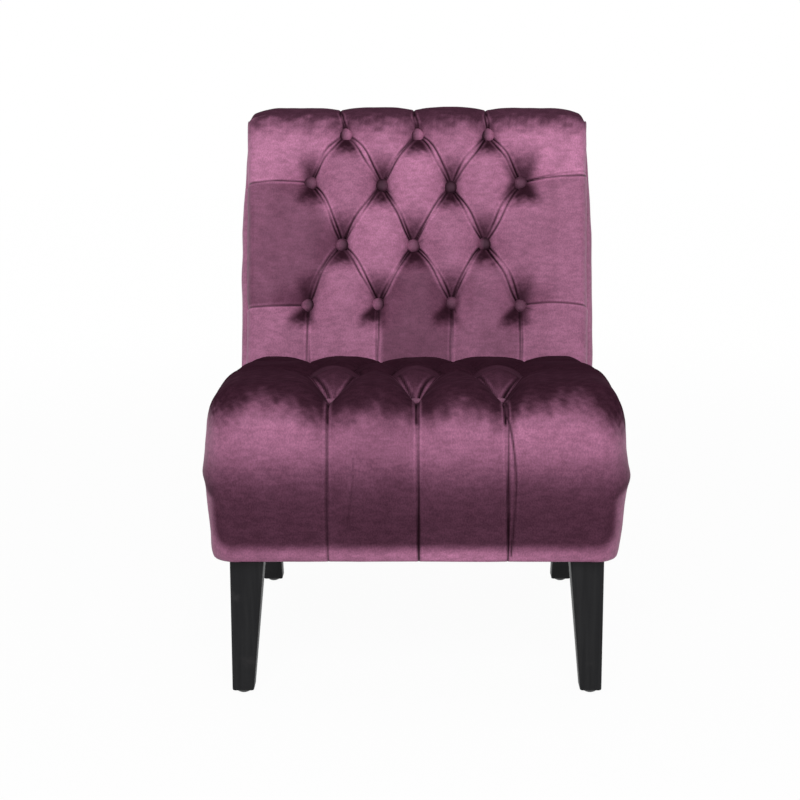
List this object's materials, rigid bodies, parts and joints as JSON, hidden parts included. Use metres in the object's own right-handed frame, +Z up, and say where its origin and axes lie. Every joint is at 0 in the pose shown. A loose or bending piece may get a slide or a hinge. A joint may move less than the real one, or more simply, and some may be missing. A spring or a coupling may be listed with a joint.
{
  "type": "armless slipper chair",
  "caption": "Armless slipper chair in plum velvet with a diamond-buttoned back and seat and tapered black wooden legs.",
  "frame": {"origin": "on the floor, under the middle of the chair's bounding box", "axes": "+X to the sitter's left, -Y towards the front, +Z up"},
  "size_m": [0.58, 0.748, 0.7908],
  "materials": {
    "plum_velvet": "short-pile velvet with a soft sheen and brushed patches",
    "black_wood": "black satin stain over close grain",
    "glide_metal": "dark painted domed glide",
    "zinc_steel": "zinc plated",
    "spring_steel": "drawn wire",
    "insert_brass": "turned",
    "frame_wood": "bare sawn hardwood",
    "foam": "open-cell cushion foam",
    "felt": "needled felt",
    "twine": "waxed tufting twine",
    "webbing": "woven jute webbing",
    "dust_cloth": "thin spun black cloth"
  },
  "bodies": {
    "root": {"front_leg_left": "black_wood", "front_leg_right": "black_wood", "rear_leg_left": "black_wood", "rear_leg_right": "black_wood", "glide_front_left": "glide_metal", "glide_front_right": "glide_metal", "glide_rear_left": "glide_metal", "glide_rear_right": "glide_metal", "hanger_bolts": "zinc_steel", "tee_nuts": "zinc_steel", "threaded_inserts": "insert_brass", "front_rail": "frame_wood", "rear_rail": "frame_wood", "side_rail_left": "frame_wood", "side_rail_right": "frame_wood", "front_corner_blocks": "frame_wood", "rear_corner_blocks": "frame_wood", "back_post_left": "frame_wood", "back_post_right": "frame_wood", "back_top_rail": "frame_wood", "back_middle_rail": "frame_wood", "back_tuck_rail": "frame_wood", "frame_screws": "zinc_steel", "seat_springs": "spring_steel", "spring_clips": "zinc_steel", "seat_deck_pad": "felt", "seat_foam": "foam", "seat_cover": "plum_velvet", "seat_buttons": "plum_velvet", "seat_button_ties": "twine", "back_webbing": "webbing", "back_foam": "foam", "inside_back_cover": "plum_velvet", "back_buttons": "plum_velvet", "back_button_ties": "twine", "side_band_left": "plum_velvet", "side_band_right": "plum_velvet", "outside_back": "plum_velvet", "dust_cover": "dust_cloth"}
  },
  "joints": []
}
